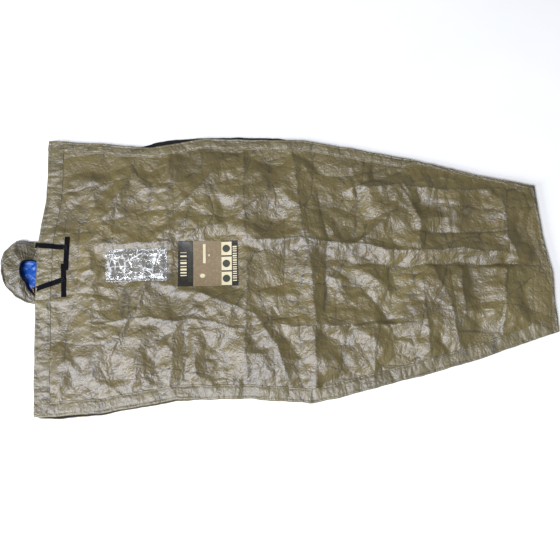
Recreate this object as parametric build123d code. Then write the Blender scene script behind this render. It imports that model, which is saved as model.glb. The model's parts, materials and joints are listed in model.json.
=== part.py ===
"""Insulated bivy sack with a hood, laid out flat.

The sack is a padded base under a padded cover. The cover's front half is held down along both sides by
touch-fastener tape and folds back towards the feet; its foot half is sewn to the base. A yoke is sewn to
the middle of the base's head edge, and carries the hood. Seen from above, the head end is at -X, the foot
end at +X, and the wearer's left is +Y. The origin is the middle of the underside. Lengths are in
millimetres.
"""

import os

from build123d import *

# Plan
HOOD_TIP_X = -1090
HEAD_X = -940
FOLD_X = 100
FOOT_X = 1090
HEAD_HALF = 550
FOLD_HALF = 530
FOOT_HALF = 290
COVER_SETBACK = 12  # the cover's edge lies this far inside the base's
FOLD_GAP = 0.5  # each side of the fold line

# Layers of the padding, which is the same in the base, the cover and the yoke
SHELL = 1.0
BATT = 5.0
LINER = 1.0
PADDED = SHELL + BATT + LINER

# Height of the cover: a flat rim, a slope all round and a flat crown, with a low mouth at the head
TAPE = 1.4
TAPE_GAP = 0.3  # between a hook tape and the loop tape that it grips
RIM_LIFT = 2 * TAPE + TAPE_GAP
RIM_WIDTH = 50
SLOPE_WIDTH = 90
HEAD_SLOPE = 120
MOUTH = 6.5
CAVITY = 20
RIM_Z = PADDED + RIM_LIFT
MOUTH_Z = PADDED + MOUTH
CROWN_Z = PADDED + CAVITY
COVER_TOP = CROWN_Z + PADDED
CROWN_INSET = RIM_WIDTH + SLOPE_WIDTH
MOUTH_INSET = RIM_WIDTH + SLOPE_WIDTH * (MOUTH_Z - RIM_Z) / (CROWN_Z - RIM_Z)
CROWN_START = HEAD_X + HEAD_SLOPE
FRONT_END = FOLD_X - FOLD_GAP
FOOT_START = FOLD_X + FOLD_GAP
FOOT_EDGE = FOOT_X - COVER_SETBACK
FOOT_RIM = FOOT_EDGE - RIM_WIDTH
FOOT_CROWN = FOOT_EDGE - CROWN_INSET

# Hems and side closures
HEM = 1.0
HEAD_HEM_WIDTH = 62
BASE_HEM_WIDTH = 50
SEAM_WIDTH = 34
HOOK_WIDTH = 26
HOOK_INSET = 7
LOOP_WIDTH = 24
LOOP_INSET = 14
CLOSURE_START = HEAD_X + 15
CLOSURE_END = FOLD_X - 12
BASE_HEM_INSET = HOOK_INSET + HOOK_WIDTH + 5

# Straps from the cover to the neck, and the two anchor tapes that they start from
WEBBING = 1.5
STRAP_WIDTH = 20
ANCHOR_LENGTH = 116
ANCHOR_START = 1  # each anchor tape starts beside the middle
ANCHOR_X = {"left": -841, "right": -850}
STRAP_ROOT = {"left": (-834, 76), "right": (-842, -48)}
STRAP_TIP = {"left": (-968, 92), "right": (-968, -92)}
PAD = 1.2
PAD_LENGTH = 20

# Pocket and label on the chest
POCKET_X = -565
POCKET_LENGTH = 240
POCKET_WIDTH = 128
WELD = 1.0
WELD_WIDTH = 8
FILM = 0.6
LABEL_X = -286
LABEL_LENGTH = 235
LABEL_WIDTH = 180
LABEL = 0.8

# Yoke at the neck, with the gathered ends of the face opening at its corners
HOOD_FOLD_X = -980
YOKE_NECK_HALF = 108
YOKE_HOOD_HALF = 113
CHEEK_START = -979
CHEEK_END = -946
CHEEK_Y = 90
CHEEK_WIDTH = 30

# Hood: a round pouch, cut off at the front, on the end of a flat neck
HOOD_R = 125
HOOD_HEIGHT = 60
HOOD_ROUNDING = 45
HOOD_FRONT_X = -1000
HOOD_FRONT_HALF = 120
HOOD_SHELL = 1.2
HOOD_BATT = 4.0
HOOD_LINER = 1.0
HOOD_PADDED = HOOD_SHELL + HOOD_BATT + HOOD_LINER
FACE_DEPTH = 34
FACE_HALF = 82
BINDING = 5
BINDING_PROUD = 1  # the binding stands out on both faces of the hood
LARGE = 2000

SIDES = {"left": 1, "right": -1}


def half_width(x):
    """Half the base's width at x."""
    if x <= FOLD_X:
        share = (x - HEAD_X) / (FOLD_X - HEAD_X)
        return HEAD_HALF + share * (FOLD_HALF - HEAD_HALF)
    share = (x - FOLD_X) / (FOOT_X - FOLD_X)
    return FOLD_HALF + share * (FOOT_HALF - FOLD_HALF)


def cover_point(x, inset, side):
    """A point of the cover's underside, inset from its side edge along Y."""
    rise = min(max(inset - RIM_WIDTH, 0), SLOPE_WIDTH) / SLOPE_WIDTH
    return (x, side * (half_width(x) - COVER_SETBACK - inset), RIM_Z + rise * (CROWN_Z - RIM_Z))


def chest_top(x):
    """The height of the cover's outer face on the slope down to the mouth, extended past the mouth."""
    return COVER_TOP - (CROWN_START - x) * (CROWN_Z - MOUTH_Z) / HEAD_SLOPE


def slab(corners, lift, thickness):
    """A slab over a flat or sloping patch, lifted along Z, with its thickness measured along Z."""
    outline = Polyline(*[(x, y, z + lift) for x, y, z in corners], close=True)
    return extrude(make_face(outline), amount=thickness, dir=(0, 0, 1))


def plate(corners, bottom, thickness):
    """A flat plate over a plan outline."""
    return slab([(x, y, 0) for x, y in corners], bottom, thickness)


def patch(*places):
    """A patch that crosses the cover, given one side of it as pairs of x and inset."""
    left = [cover_point(x, inset, 1) for x, inset in places]
    right = [cover_point(x, inset, -1) for x, inset in reversed(places)]
    return left + right


def side_patches(*places):
    """The same patch on each side of the cover, given as pairs of x and inset."""
    return [[cover_point(x, inset, side) for x, inset in places] for side in SIDES.values()]


def front_patches():
    """The front half of the cover: mouth slope, crown, side slopes and rims."""
    return [
        patch((HEAD_X, MOUTH_INSET), (CROWN_START, CROWN_INSET)),
        patch((CROWN_START, CROWN_INSET), (FRONT_END, CROWN_INSET)),
        *side_patches(
            (HEAD_X, RIM_WIDTH),
            (FRONT_END, RIM_WIDTH),
            (FRONT_END, CROWN_INSET),
            (CROWN_START, CROWN_INSET),
            (HEAD_X, MOUTH_INSET),
        ),
        *front_rims(HEAD_X),
    ]


def front_rims(start):
    """The rims along both sides of the front half."""
    return side_patches((start, 0), (FRONT_END, 0), (FRONT_END, RIM_WIDTH), (start, RIM_WIDTH))


def foot_patches():
    """The foot half of the cover: crown, end slope, side slopes, end rim and side rims."""
    return [
        patch((FOOT_START, CROWN_INSET), (FOOT_CROWN, CROWN_INSET)),
        patch((FOOT_CROWN, CROWN_INSET), (FOOT_RIM, RIM_WIDTH)),
        *side_patches(
            (FOOT_START, RIM_WIDTH),
            (FOOT_RIM, RIM_WIDTH),
            (FOOT_CROWN, CROWN_INSET),
            (FOOT_START, CROWN_INSET),
        ),
        foot_end_rim(),
        *foot_side_rims(),
    ]


def foot_end_rim():
    """The rim across the foot."""
    return patch((FOOT_RIM, RIM_WIDTH), (FOOT_EDGE, 0))


def foot_side_rims():
    """The rims along both sides of the foot half, mitred at the foot corners."""
    return side_patches((FOOT_START, 0), (FOOT_EDGE, 0), (FOOT_RIM, RIM_WIDTH), (FOOT_START, RIM_WIDTH))


def lanes(patches, lift, thickness):
    """One solid for each patch, as the padding is stuffed lane by lane."""
    return Compound(children=[slab(corners, lift, thickness) for corners in patches])


def sheet(patches, lift, thickness):
    """One continuous sheet over all the patches."""
    first, *others = [slab(corners, lift, thickness) for corners in patches]
    return first.fuse(*others).clean()


def side_tape(x0, x1, inset, width, side, bottom, thickness):
    """A straight tape along one side, inset from the base's edge."""
    corners = [
        (x0, side * (half_width(x0) - inset)),
        (x1, side * (half_width(x1) - inset)),
        (x1, side * (half_width(x1) - inset - width)),
        (x0, side * (half_width(x0) - inset - width)),
    ]
    return plate(corners, bottom, thickness)


def base_parts():
    """The padded base, the hem across its head end and the hook tapes of the side closures."""
    outline = [
        (HEAD_X, HEAD_HALF),
        (FOLD_X, FOLD_HALF),
        (FOOT_X, FOOT_HALF),
        (FOOT_X, -FOOT_HALF),
        (FOLD_X, -FOLD_HALF),
        (HEAD_X, -HEAD_HALF),
    ]
    hem_half = HEAD_HALF - BASE_HEM_INSET
    hem = [
        (HEAD_X, hem_half),
        (HEAD_X + BASE_HEM_WIDTH, hem_half),
        (HEAD_X + BASE_HEM_WIDTH, -hem_half),
        (HEAD_X, -hem_half),
    ]
    parts = {
        "base_shell": plate(outline, 0, SHELL),
        "base_insulation": plate(outline, SHELL, BATT),
        "base_liner": plate(outline, SHELL + BATT, LINER),
        "base_head_hem": plate(hem, PADDED, HEM),
    }
    for name, side in SIDES.items():
        parts[f"side_hook_tape_{name}"] = side_tape(
            CLOSURE_START, CLOSURE_END, HOOK_INSET, HOOK_WIDTH, side, PADDED, TAPE
        )
    return parts


def cover_layers(prefix, patches):
    """The liner, padding and shell over a half of the cover."""
    return {
        f"{prefix}_liner": sheet(patches, 0, LINER),
        f"{prefix}_insulation": lanes(patches, LINER, BATT),
        f"{prefix}_shell": sheet(patches, LINER + BATT, SHELL),
    }


def front_cover_parts():
    """The half of the cover that folds back, its hems and the loop tapes under its rims."""
    parts = cover_layers("front_cover", front_patches())
    hem_end = HEAD_X + HEAD_HEM_WIDTH
    hem_zone = Pos(hem_end - LARGE / 2, 0, 0) * Box(LARGE, LARGE, LARGE)
    parts["head_hem"] = sheet(front_patches(), PADDED, HEM) & hem_zone
    for (name, side), rim in zip(SIDES.items(), front_rims(hem_end)):
        parts[f"side_hem_{name}"] = slab(rim, PADDED, HEM)
        parts[f"side_loop_tape_{name}"] = side_tape(
            CLOSURE_START, CLOSURE_END, LOOP_INSET, LOOP_WIDTH, side, RIM_Z - TAPE, TAPE
        )
    return parts


def foot_cover_parts():
    """The half of the cover that is sewn to the base, its hems and the seam between them."""
    parts = cover_layers("foot_cover", foot_patches())
    parts["foot_end_hem"] = slab(foot_end_rim(), PADDED, HEM)
    seam_end = FOOT_EDGE - SEAM_WIDTH
    end_half = half_width(FOOT_EDGE) - COVER_SETBACK
    end_seam = [(seam_end, end_half), (FOOT_EDGE, end_half), (FOOT_EDGE, -end_half), (seam_end, -end_half)]
    seams = [plate(end_seam, PADDED, RIM_LIFT)]
    for (name, side), rim in zip(SIDES.items(), foot_side_rims()):
        parts[f"foot_side_hem_{name}"] = slab(rim, PADDED, HEM)
        seams.append(side_tape(FOOT_START, seam_end, COVER_SETBACK, SEAM_WIDTH, side, PADDED, RIM_LIFT))
    parts["foot_seam"] = Compound(children=seams)
    return parts


def chest_slab(corners, above, thickness):
    """A slab that lies parallel to the mouth slope, a given height above it."""
    return slab([(x, y, chest_top(x)) for x, y in corners], above, thickness)


def strap_corners(name, x0, x1, width):
    """The plan corners of a stretch of a strap, whose ends are cut square to X."""
    root_x, root_y = STRAP_ROOT[name]
    tip_x, tip_y = STRAP_TIP[name]
    drift = (tip_y - root_y) / (tip_x - root_x)
    reach = width / 2 * (1 + drift**2) ** 0.5
    y0, y1 = root_y + (x0 - root_x) * drift, root_y + (x1 - root_x) * drift
    return [(x0, y0 - reach), (x1, y1 - reach), (x1, y1 + reach), (x0, y0 + reach)]


def strap_parts():
    """The anchor tapes, the straps, and the hook pads and loop patches that join them to the yoke."""
    parts = {}
    strap_lift = WEBBING + TAPE_GAP
    patch_lift = strap_lift - PAD - TAPE_GAP - PAD
    for name, side in SIDES.items():
        x0, x1 = ANCHOR_X[name] - STRAP_WIDTH / 2, ANCHOR_X[name] + STRAP_WIDTH / 2
        y0, y1 = side * ANCHOR_START, side * (ANCHOR_START + ANCHOR_LENGTH)
        anchor = [(x0, y0), (x1, y0), (x1, y1), (x0, y1)]
        root_x, tip_x = STRAP_ROOT[name][0], STRAP_TIP[name][0]
        tip_end = tip_x + PAD_LENGTH
        parts[f"anchor_tape_{name}"] = chest_slab(anchor, 0, WEBBING)
        parts[f"strap_{name}"] = chest_slab(
            strap_corners(name, root_x, tip_x, STRAP_WIDTH), strap_lift, WEBBING
        )
        parts[f"strap_hook_pad_{name}"] = chest_slab(
            strap_corners(name, tip_end, tip_x, STRAP_WIDTH), strap_lift - PAD, PAD
        )
        parts[f"neck_loop_patch_{name}"] = chest_slab(
            strap_corners(name, tip_end, tip_x, STRAP_WIDTH), patch_lift, PAD
        )
    return parts


def yoke_parts():
    """The padded yoke and the two gathered ends of the face opening, which fill up to the patches."""
    yoke = [
        (HEAD_X, YOKE_NECK_HALF),
        (HEAD_X, -YOKE_NECK_HALF),
        (HOOD_FOLD_X + FOLD_GAP, -YOKE_HOOD_HALF),
        (HOOD_FOLD_X + FOLD_GAP, YOKE_HOOD_HALF),
    ]
    top = WEBBING - PAD - PAD
    profile = Polyline(
        (CHEEK_START, PADDED),
        (CHEEK_END, PADDED),
        (CHEEK_END, chest_top(CHEEK_END) + top),
        (CHEEK_START, chest_top(CHEEK_START) + top),
        close=True,
    )
    cheek = extrude(Plane.XZ * make_face(profile), amount=CHEEK_WIDTH / 2, both=True)
    parts = {
        "yoke_shell": plate(yoke, 0, SHELL),
        "yoke_insulation": plate(yoke, SHELL, BATT),
        "yoke_liner": plate(yoke, SHELL + BATT, LINER),
    }
    for name, side in SIDES.items():
        parts[f"neck_gather_{name}"] = Pos(0, side * CHEEK_Y, 0) * cheek
    return parts


def chest_parts():
    """The clear pocket, welded on three sides and open towards the head, and the printed label."""
    block = Box(POCKET_LENGTH, POCKET_WIDTH, WELD)
    inside = Pos(-WELD_WIDTH, 0, 0) * Box(POCKET_LENGTH, POCKET_WIDTH - 2 * WELD_WIDTH, WELD)
    window = Box(POCKET_LENGTH, POCKET_WIDTH, FILM)
    return {
        "pocket_weld": Pos(POCKET_X, 0, COVER_TOP + WELD / 2) * (block - inside),
        "pocket_window": Pos(POCKET_X, 0, COVER_TOP + WELD + FILM / 2) * window,
        "label_card": Pos(LABEL_X, 0, COVER_TOP + LABEL / 2) * Box(LABEL_LENGTH, LABEL_WIDTH, LABEL),
    }


def pouch(inset):
    """The hood's round pouch as a solid of revolution, inset all round."""
    radius, top, rounding = HOOD_R - inset, HOOD_HEIGHT - inset, HOOD_ROUNDING - inset
    flats = Polyline((radius - rounding, top), (0, top), (0, inset), (radius, inset), (radius, top - rounding))
    shoulder = CenterArc((radius - rounding, top - rounding), rounding, 0, 90)
    profile = Plane.XZ * make_face(flats + shoulder)
    return Pos(HOOD_TIP_X + HOOD_R, 0, 0) * revolve(profile, Axis.Z)


def face_hole(grow):
    """A tall cutter over the face opening, with its edge moved outwards."""
    oval = Ellipse(FACE_DEPTH + grow, FACE_HALF + grow)
    return Pos(HOOD_FOLD_X, 0, HOOD_HEIGHT / 2) * extrude(oval, amount=HOOD_HEIGHT)


def hood_layer(outer, inner):
    """One layer of the hood: its part of the pouch and of the flat neck."""
    behind_front = Pos(HOOD_FRONT_X - LARGE / 2, 0, 0) * Box(LARGE, LARGE, LARGE)
    shell = ((pouch(outer) - pouch(inner)) & behind_front) - face_hole(BINDING)
    neck = [
        (HOOD_FRONT_X, HOOD_FRONT_HALF),
        (HOOD_FOLD_X - FOLD_GAP, YOKE_HOOD_HALF),
        (HOOD_FOLD_X - FOLD_GAP, -YOKE_HOOD_HALF),
        (HOOD_FRONT_X, -HOOD_FRONT_HALF),
    ]
    return shell + plate(neck, outer, inner - outer)


def hood_parts():
    """The hood's three layers and the binding round its face opening."""
    behind_front = Pos(HOOD_FRONT_X - LARGE / 2, 0, 0) * Box(LARGE, LARGE, LARGE)
    ring = (face_hole(BINDING) - face_hole(0)) & behind_front
    height = HOOD_PADDED + 2 * BINDING_PROUD
    band = Pos(HOOD_FRONT_X, 0, HOOD_HEIGHT + BINDING_PROUD - height / 2) * Box(LARGE, LARGE, height)
    return {
        "hood_shell": hood_layer(0, HOOD_SHELL),
        "hood_insulation": hood_layer(HOOD_SHELL, HOOD_SHELL + HOOD_BATT),
        "hood_liner": hood_layer(HOOD_SHELL + HOOD_BATT, HOOD_PADDED),
        "hood_rim_binding": ring & band,
    }


def main():
    os.makedirs("parts", exist_ok=True)
    groups = [
        base_parts(),
        foot_cover_parts(),
        front_cover_parts(),
        strap_parts(),
        chest_parts(),
        yoke_parts(),
        hood_parts(),
    ]
    for group in groups:
        for name, shape in group.items():
            export_step(shape, f"parts/{name}.step")


main()
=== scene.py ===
"""The insulated bivy sack's looks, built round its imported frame. Lengths are in metres.

Everything on the cover follows one crumpled surface, `Cover`, which is laid out from the frame's sizes, creased
where the sack was folded for packing, and settled by a cloth simulation.
"""

import json
import math

import bmesh
import bpy
import numpy as np
from mathutils.bvhtree import BVHTree
from mathutils.geometry import delaunay_2d_cdt
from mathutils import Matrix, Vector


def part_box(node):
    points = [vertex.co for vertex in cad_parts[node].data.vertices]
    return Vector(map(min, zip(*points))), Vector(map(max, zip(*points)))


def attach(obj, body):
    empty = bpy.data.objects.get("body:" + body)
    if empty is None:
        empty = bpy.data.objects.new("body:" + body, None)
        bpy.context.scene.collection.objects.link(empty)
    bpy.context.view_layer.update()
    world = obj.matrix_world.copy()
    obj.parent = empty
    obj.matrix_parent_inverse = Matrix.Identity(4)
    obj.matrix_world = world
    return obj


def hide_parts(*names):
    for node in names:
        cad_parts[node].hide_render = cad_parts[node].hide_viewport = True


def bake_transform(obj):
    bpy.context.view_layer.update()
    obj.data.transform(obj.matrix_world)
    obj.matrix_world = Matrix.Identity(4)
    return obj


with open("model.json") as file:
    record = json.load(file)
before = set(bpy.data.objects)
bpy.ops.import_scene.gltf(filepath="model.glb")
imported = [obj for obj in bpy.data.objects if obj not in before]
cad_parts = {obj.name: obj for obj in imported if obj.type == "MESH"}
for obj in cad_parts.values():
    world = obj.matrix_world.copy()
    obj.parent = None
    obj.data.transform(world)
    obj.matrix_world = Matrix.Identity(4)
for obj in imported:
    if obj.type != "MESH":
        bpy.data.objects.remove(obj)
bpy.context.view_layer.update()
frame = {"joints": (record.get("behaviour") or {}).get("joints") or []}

JOINTS = {joint["name"]: joint for joint in frame["joints"]}

# Places taken from the frame
HEAD_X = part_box("base_shell")[0].x
FOOT_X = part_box("base_shell")[1].x
BASE_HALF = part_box("base_shell")[1].y
COVER_FOOT_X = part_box("foot_cover_shell")[1].x
FOLD_X = JOINTS["cover_fold"]["pos_m"][0]
HEAD_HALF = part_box("front_cover_shell")[1].y
FOLD_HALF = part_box("foot_cover_shell")[1].y
FOOT_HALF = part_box("foot_end_hem")[1].y
CROWN_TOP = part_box("front_cover_shell")[1].z
RIM_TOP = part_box("foot_end_hem")[0].z
RIM_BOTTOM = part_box("front_cover_liner")[0].z
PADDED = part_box("base_liner")[1].z
COVER_PADDING = RIM_TOP - RIM_BOTTOM
HEAD_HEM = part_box("head_hem")[1].x - HEAD_X
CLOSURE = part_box("side_hook_tape_left")[0].x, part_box("side_hook_tape_left")[1].x
HOOD_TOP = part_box("hood_shell")[1].z

# The lowest that the cover's outer cloth may lie
LOWEST = RIM_BOTTOM + 0.008
# The straps and anchor tapes
WEBBING = 0.0015
STRAP_WIDTH = 0.02
# The hood, straps, pocket and label lie a little to the left of the middle
SHIFT = 0.013
LEFT, RIGHT = 1, -1
SIDES = {"left": LEFT, "right": RIGHT}


# ---------------------------------------------------------------- noise


def lattice(ix, iy, seed):
    """A repeatable number from 0 to 1 for each lattice point."""
    n = (ix * 374761393 + iy * 668265263 + seed * 1442695041) & 0x7FFFFFFF
    n = ((n ^ (n >> 13)) * 1274126177) & 0x7FFFFFFF
    return ((n ^ (n >> 16)) & 0xFFFF) / 0xFFFF


def noise(x, y, seed):
    """Smooth gradient noise, about -0.7 to 0.7, with one lattice cell to a unit."""
    x, y = np.broadcast_arrays(np.asarray(x, float), np.asarray(y, float))
    ix, iy = np.floor(x).astype(np.int64), np.floor(y).astype(np.int64)
    fx, fy = x - ix, y - iy

    def corner(dx, dy):
        angle = 2 * math.pi * lattice(ix + dx, iy + dy, seed)
        return np.cos(angle) * (fx - dx) + np.sin(angle) * (fy - dy)

    sx, sy = fx**3 * (fx * (fx * 6 - 15) + 10), fy**3 * (fy * (fy * 6 - 15) + 10)
    near = corner(0, 0) * (1 - sx) + corner(1, 0) * sx
    far = corner(0, 1) * (1 - sx) + corner(1, 1) * sx
    return near * (1 - sy) + far * sy


def wander(value, size, length, seed):
    """How far a line wanders: by up to about its size, one way and back over about twice its length."""
    return size * noise(value / length, 0.5, seed)


def bumps(x, y, height, length, seed):
    """Smooth bumps over a plan."""
    return height * noise(x / length, y / length, seed)


def bell(distance, width):
    """1 at no distance, falling away smoothly on both sides."""
    return np.exp(-((distance / width) ** 2))


def rounded(distance, radius):
    """The height of a rounded edge, from 0 at the edge to 1 at a radius in from it."""
    return np.sqrt(1 - (1 - np.clip(distance / radius, 0, 1)) ** 2)


def smooth(low, high, value):
    """0 below low, 1 above high, and a smooth step between."""
    t = np.clip((value - low) / (high - low), 0, 1)
    return t * t * (3 - 2 * t)


def blur(grid, rounds):
    """The grid with each value averaged with its neighbours, several times over."""
    for _ in range(rounds):
        for axis in (0, 1):
            last = grid.shape[axis] - 1
            before = np.concatenate([grid.take([0], axis), grid.take(range(last), axis)], axis)
            after = np.concatenate([grid.take(range(1, last + 1), axis), grid.take([last], axis)], axis)
            grid = (before + 2 * grid + after) / 4
    return grid


def lowest_near(grid, reach):
    """The grid with each value replaced by the lowest within reach of it."""
    for axis in (0, 1):
        padded = np.pad(grid, [(reach, reach) if a == axis else (0, 0) for a in (0, 1)], mode="edge")
        size = grid.shape[axis]
        grid = np.min([padded.take(range(k, k + size), axis) for k in range(2 * reach + 1)], axis=0)
    return grid


# ---------------------------------------------------------------- the sack's outline

# How far each edge of the cover lies outside its pattern, as pairs of place and offset
SIDE_LAY = {
    LEFT: [(-0.93, 0.0), (-0.71, -0.016), (-0.51, -0.032), (-0.31, 0.005), (0.08, -0.004), (0.3, 0.005),
           (0.56, 0.011), (0.81, 0.003), (1.06, 0.008)],
    RIGHT: [(-0.95, 0.027), (-0.69, 0.021), (-0.41, -0.016), (-0.12, -0.007), (0.11, 0.02), (0.22, 0.027),
            (0.53, 0.029), (0.73, 0.026), (0.93, 0.012), (1.08, 0.002)],
}
HEAD_LAY = [(0.0, -0.014), (0.38, -0.021), (0.6, -0.019), (0.68, -0.008), (0.78, 0.011), (1.0, 0.013)]
FOOT_LAY = [(0.0, -0.005), (0.2, -0.012), (0.4, -0.009), (0.51, -0.022), (0.67, -0.038), (1.0, -0.055)]
# How far the base shows past the cover's edge
BASE_SHOW = {
    LEFT: [(-0.93, 0.002), (-0.57, 0.003), (-0.50, 0.024), (-0.43, 0.024), (-0.30, 0.008), (-0.16, 0.014),
           (0.0, 0.013), (0.05, 0.004), (0.2, 0.0), (1.09, -0.001)],
    RIGHT: [(-0.95, 0.004), (-0.85, 0.012), (-0.60, 0.006), (-0.45, 0.007), (-0.37, 0.006), (-0.30, 0.0),
            (1.09, -0.001)],
}


def along(pairs, value):
    """Reads a list of pairs at value."""
    places, offsets = zip(*pairs)
    return np.interp(value, places, offsets)


def pattern_half(x):
    """Half the cover's width in its pattern."""
    return np.interp(x, [HEAD_X, FOLD_X, COVER_FOOT_X], [HEAD_HALF, FOLD_HALF, FOOT_HALF])


def side_edge(x, side):
    """The cover's edge on one side."""
    seed = {LEFT: 5, RIGHT: 6}[side]
    lay = pattern_half(x) + along(SIDE_LAY[side], x) + wander(x, size=0.003, length=0.07, seed=seed)
    return side * lay + wander(x, size=0.002, length=0.025, seed=seed + 10)


def head_edge(v):
    return HEAD_X + along(HEAD_LAY, v) + wander(v, size=0.003, length=0.06, seed=7)


def foot_edge(v):
    return COVER_FOOT_X + along(FOOT_LAY, v) + wander(v, size=0.002, length=0.09, seed=8)


def base_edge(x, side):
    """The base's edge on one side."""
    return side_edge(x, side) + side * along(BASE_SHOW[side], x)


def place(u, v):
    """Plan coordinates of a point of the cover: u runs from head to foot, v from right to left."""
    x = head_edge(v) + u * (foot_edge(v) - head_edge(v))
    right = side_edge(x, RIGHT)
    return x, right + v * (side_edge(x, LEFT) - right)


def find(x, y):
    """The u and v of a place in plan."""
    right = side_edge(x, RIGHT)
    v = (y - right) / (side_edge(x, LEFT) - right)
    return (x - head_edge(v)) / (foot_edge(v) - head_edge(v)), v


def inset(x, y):
    """How far a place is inside the cover's side and foot edges."""
    _, v = find(x, y)
    return np.minimum(np.minimum(side_edge(x, LEFT) - y, y - side_edge(x, RIGHT)), foot_edge(v) - x)


# ---------------------------------------------------------------- the cover's surface


# Creases from when the sack was packed, each a height and its corners in plan: below 0 is a valley
CREASES = [
    (0.008, [(-0.44, 0.49), (-0.44, 0.10)]),
    (0.007, [(-0.44, 0.10), (-0.39, 0.17), (-0.35, 0.25)]),
    (0.005, [(-0.44, 0.10), (-0.35, 0.15), (-0.25, 0.17)]),
    (0.005, [(-0.80, 0.10), (-0.62, 0.10), (-0.44, 0.10)]),
    (0.006, [(-0.14, 0.10), (0.09, 0.10), (0.29, 0.08)]),
    (0.007, [(0.29, 0.08), (0.42, 0.055), (0.56, 0.04), (0.72, 0.045), (0.87, 0.035)]),
    (-0.008, [(0.28, 0.0), (0.50, -0.015), (0.75, -0.01), (1.0, -0.02)]),
    (0.006, [(-0.59, 0.39), (-0.65, 0.28)]),
    (0.005, [(-0.14, 0.47), (-0.14, 0.28), (-0.135, 0.10)]),
    (0.008, [(-0.135, 0.02), (-0.14, -0.25), (-0.14, -0.48)]),
    (0.008, [(-0.44, -0.065), (-0.27, -0.12), (-0.11, -0.19), (-0.02, -0.32), (0.02, -0.45)]),
    (0.006, [(-0.53, -0.06), (-0.59, -0.20), (-0.66, -0.33)]),
    (-0.007, [(-0.88, -0.12), (-0.82, -0.32)]),
    (0.006, [(-0.73, -0.22), (-0.52, -0.20), (-0.34, -0.21), (-0.13, -0.25)]),
    (0.007, [(-0.75, 0.08), (-0.735, -0.17), (-0.73, -0.42)]),
    (0.006, [(0.29, 0.31), (0.475, 0.315), (0.61, 0.295), (0.89, 0.295)]),
    (0.007, [(0.475, 0.315), (0.555, 0.17), (0.555, 0.04)]),
    (-0.007, [(0.29, 0.36), (0.315, 0.25), (0.29, 0.09)]),
    (0.008, [(0.29, 0.08), (0.46, 0.21)]),
    (-0.008, [(0.20, -0.015), (0.30, -0.085), (0.37, -0.165), (0.44, -0.295)]),
    (-0.006, [(0.21, -0.03), (0.26, -0.155)]),
    (0.007, [(0.55, -0.07), (0.56, -0.41)]),
    (0.007, [(0.60, -0.02), (0.67, -0.22), (0.69, -0.38)]),
    (0.005, [(0.71, -0.03), (0.71, -0.22)]),
    (0.006, [(0.885, 0.295), (0.895, 0.10), (0.93, 0.0)]),
    (0.006, [(0.885, -0.035), (0.85, -0.295)]),
    (0.006, [(0.35, -0.25), (0.35, -0.43)]),
    (0.006, [(0.04, -0.245), (0.28, -0.24), (0.525, -0.24)]),
    (0.006, [(0.05, 0.50), (0.075, 0.28), (0.11, 0.055), (0.127, -0.22), (0.12, -0.50)]),
    (-0.006, [(0.15, 0.30), (0.185, 0.10), (0.165, -0.18)]),
    (-0.005, [(0.53, 0.125), (0.72, 0.115), (0.93, 0.12)]),
    (0.007, [(-0.27, 0.38), (-0.36, 0.29), (-0.44, 0.21)]),
    (0.006, [(0.0, 0.34), (-0.09, 0.265), (-0.14, 0.23)]),
    (0.007, [(-0.35, -0.26), (-0.345, -0.36), (-0.32, -0.47)]),
    (-0.007, [(-0.37, -0.25), (-0.37, -0.36), (-0.39, -0.48)]),
    (0.006, [(-0.42, -0.26), (-0.43, -0.38), (-0.445, -0.48)]),
    (-0.006, [(-0.475, -0.28), (-0.50, -0.38), (-0.46, -0.47)]),
    (0.005, [(-0.55, -0.30), (-0.57, -0.44)]),
    (-0.005, [(0.26, -0.25), (0.23, -0.38)]),
]


SACK_AREA = (HEAD_X, FOOT_X, -BASE_HALF, BASE_HALF)


def scatter(spacing, seed, low, high, area=SACK_AREA):
    """Points over an area at about the given spacing, each with a random height."""
    draw = np.random.default_rng(seed)
    x, y = np.meshgrid(np.arange(area[0], area[1], spacing), np.arange(area[2], area[3], spacing))
    shift = draw.uniform(-0.45, 0.45, (2, *x.shape)) * spacing
    height = draw.uniform(low, high, x.shape)
    return np.stack([(x + shift[0]).ravel(), (y + shift[1]).ravel(), height.ravel()], -1)


def crease_runs():
    """Each crease cut into short runs that wander and rise and fall a little, and fade at both ends."""
    draw = np.random.default_rng(7)
    run_length, aside, end_share = 0.07, 0.008, 0.6
    for height, corners in CREASES:
        run = []
        for (x0, y0), (x1, y1) in zip(corners, corners[1:]):
            steps = max(1, round(math.hypot(x1 - x0, y1 - y0) / run_length))
            run += [(x0 + (x1 - x0) * k / steps, y0 + (y1 - y0) * k / steps) for k in range(steps)]
        run = np.array(run + [corners[-1]])
        run[1:-1] += draw.uniform(-aside, aside, (len(run) - 2, 2))
        lift = height * draw.uniform(0.6, 1.15, len(run))
        lift[[0, -1]] *= end_share
        yield run, lift


def crease_reach(x, y, width):
    """How close each place is to a crease, from 0 to 1, with the sign of that crease."""
    close = np.zeros(x.shape)
    for run, lift in crease_runs():
        for (x0, y0), (x1, y1) in zip(run, run[1:]):
            dx, dy = x1 - x0, y1 - y0
            t = np.clip(((x - x0) * dx + (y - y0) * dy) / (dx * dx + dy * dy), 0, 1)
            near = np.exp(-np.hypot(x - x0 - t * dx, y - y0 - t * dy) / width)
            close = np.where(near > np.abs(close), near * np.sign(lift[1]), close)
    return close


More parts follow.
